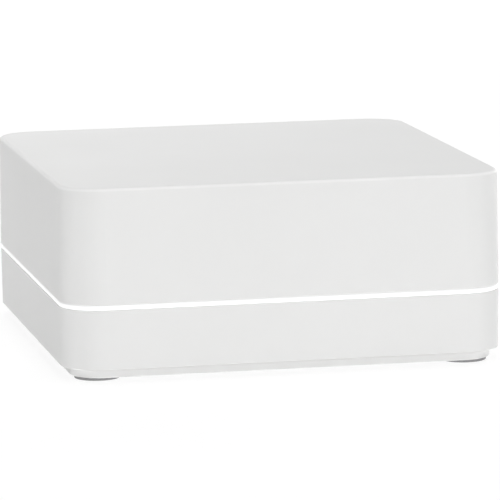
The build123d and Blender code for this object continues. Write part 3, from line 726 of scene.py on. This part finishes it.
def cell_clip():
    """The spring clip that holds the coin cell down, from its foot on the board to its raised tip."""
    low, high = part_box("coin_cell_holder")
    start = Vector((middle("coin_cell_holder").x, high.y, low.z))
    cell_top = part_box("coin_cell")[1].z - low.z
    half = clip_thickness / 2
    clearance = 2 * clip_thickness
    foot = 5 * clip_thickness
    raised = cell_top + clearance
    touching = cell_top + half
    path = [(foot, half), (clearance, half), (clearance, raised), (-clip_reach / 2, raised),
            (-clip_dip_start, touching), (-clip_dip_end, touching), (-clip_reach, raised)]
    mesh = bmesh.new()
    add_strip(mesh, start, Vector((0.0, 1.0, 0.0)), path, clip_width)
    sheet_metal("cell_clip", mesh, clip_thickness)


def view_rays(graph):
    """One for rays that see the stage: from the camera, or by way of gloss or glass."""
    rays = graph.node("ShaderNodeLightPath").outputs
    seen = graph.larger(rays["Is Camera Ray"], rays["Is Glossy Ray"])
    return graph.larger(seen, rays["Is Transmission Ray"])


def floor_material():
    """Plain white where the floor is seen, apart from the object's soft shadow.

    Under the base plate it is a light table: lamp light comes up through it, and no light bounces off it.
    Seen from below, it is clear.
    """
    material = bpy.data.materials.new("floor")
    material.use_nodes = True
    graph = Graph(material.node_tree)
    graph.tree.nodes.clear()
    seen = view_rays(graph)
    ground = graph.node("ShaderNodeNewGeometry").outputs
    x, y, _ = graph.parts(ground["Position"])
    half_width, half_depth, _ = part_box("base_plate")[1]
    under = graph.times(graph.within(x, half_width), graph.within(y, half_depth))
    bounce = graph.spread(under, floor_albedo, 0.0)
    diffuse = graph.node("ShaderNodeBsdfDiffuse")
    graph.feed(diffuse.inputs["Color"], graph.spread(seen, bounce, floor_albedo * floor_shade))
    level = graph.spread(graph.length(x, y), floor_glow, 1.0, start=shadow_reach, end=lamp_distance)
    glow = graph.node("ShaderNodeEmission")
    graph.feed(glow.inputs["Strength"], graph.times(seen, level))
    surface = graph.node("ShaderNodeAddShader")
    graph.feed(surface.inputs[0], diffuse.outputs[0])
    graph.feed(surface.inputs[1], glow.outputs[0])
    to_lamp = graph.node("ShaderNodeLightPath").outputs["Is Shadow Ray"]
    clear = graph.larger(ground["Backfacing"], graph.times(under, to_lamp))
    both = graph.node("ShaderNodeMixShader")
    graph.feed(both.inputs["Fac"], clear)
    graph.feed(both.inputs[1], surface.outputs[0])
    graph.feed(both.inputs[2], graph.node("ShaderNodeBsdfTransparent").outputs[0])
    output = graph.node("ShaderNodeOutputMaterial")
    graph.feed(output.inputs["Surface"], both.outputs[0])
    return material


def make_floor():
    """A wide floor that the object stands on."""
    bpy.ops.mesh.primitive_plane_add(size=floor_size)
    plane = bpy.context.object
    plane.name = "floor"
    plane.data.materials.append(floor_material())


def make_world():
    """An even white surround: full white where it is seen, and a plain level as light."""
    surround = bpy.data.worlds.new("surround")
    bpy.context.scene.world = surround
    surround.use_nodes = True
    # The surround is even, so it isn't sampled as a lamp
    surround.cycles.sampling_method = "NONE"
    graph = Graph(surround.node_tree)
    background = graph.tree.nodes["Background"]
    graph.feed(background.inputs["Color"], (1.0, 1.0, 1.0, 1.0))
    graph.feed(background.inputs["Strength"], graph.spread(view_rays(graph), world_level, 1.0))


def direction_to(azimuth, elevation):
    """The direction from the object that lies so far round from the front, and so far up."""
    around = radians(azimuth)
    up = radians(elevation)
    return Vector((sin(around) * cos(up), -cos(around) * cos(up), sin(up)))


def make_lamp(name, azimuth, elevation, watts, width, distance):
    """A square soft lamp that faces the object and isn't seen itself."""
    direction = direction_to(azimuth, elevation)
    data = bpy.data.lights.new(name, "AREA")
    data.shape = "SQUARE"
    data.size = width
    data.energy = watts
    light = bpy.data.objects.new(name, data)
    bpy.context.scene.collection.objects.link(light)
    light.location = direction * distance
    light.rotation_mode = "QUATERNION"
    light.rotation_quaternion = direction.to_track_quat("Z", "Y")
    light.visible_camera = False


def make_camera():
    """The camera, at the photograph's viewing angle."""
    roll = radians(camera_roll)
    back = direction_to(camera_azimuth, camera_elevation)
    level = Vector((cos(radians(camera_azimuth)), sin(radians(camera_azimuth)), 0.0))
    upright = back.cross(level)
    right = level * cos(roll) + upright * sin(roll)
    up = upright * cos(roll) - level * sin(roll)
    data = bpy.data.cameras.new("camera")
    data.lens = lens_mm
    data.sensor_width = sensor_mm
    data.clip_start = clip_near
    data.clip_end = 4 * floor_size
    view = bpy.data.objects.new("camera", data)
    bpy.context.scene.collection.objects.link(view)
    view.matrix_world = Matrix((right, up, back)).transposed().to_4x4()
    view.location = back * camera_distance + level * aim_right + Vector((0.0, 0.0, aim_height))
    bpy.context.scene.camera = view


# Finish of the CAD nodes
slots = {part["node"]: part["material_slot"] for part in frame["record"]["subparts"]}
for name, node in frame["nodes"].items():
    node.material_slots[0].material = look_of(name, slots[name]).material

# Sheet metal on the board
right_side = Vector((1.0, 0.0, 0.0))
rear_side = Vector((0.0, 1.0, 0.0))
all_sides = (right_side, -right_side, rear_side, -rear_side)
chip_leads("network_chip", all_sides, pitch=0.0008, width=0.0003, thickness=0.00012)
chip_leads("power_chip", (rear_side, -rear_side), pitch=0.00127, width=0.00042, thickness=0.00016)
cell_clip()

# Stage and camera
make_floor()
make_world()
for name, settings in lamps.items():
    make_lamp(name, *settings)
make_camera()
bpy.context.scene.view_settings.view_transform = "Standard"
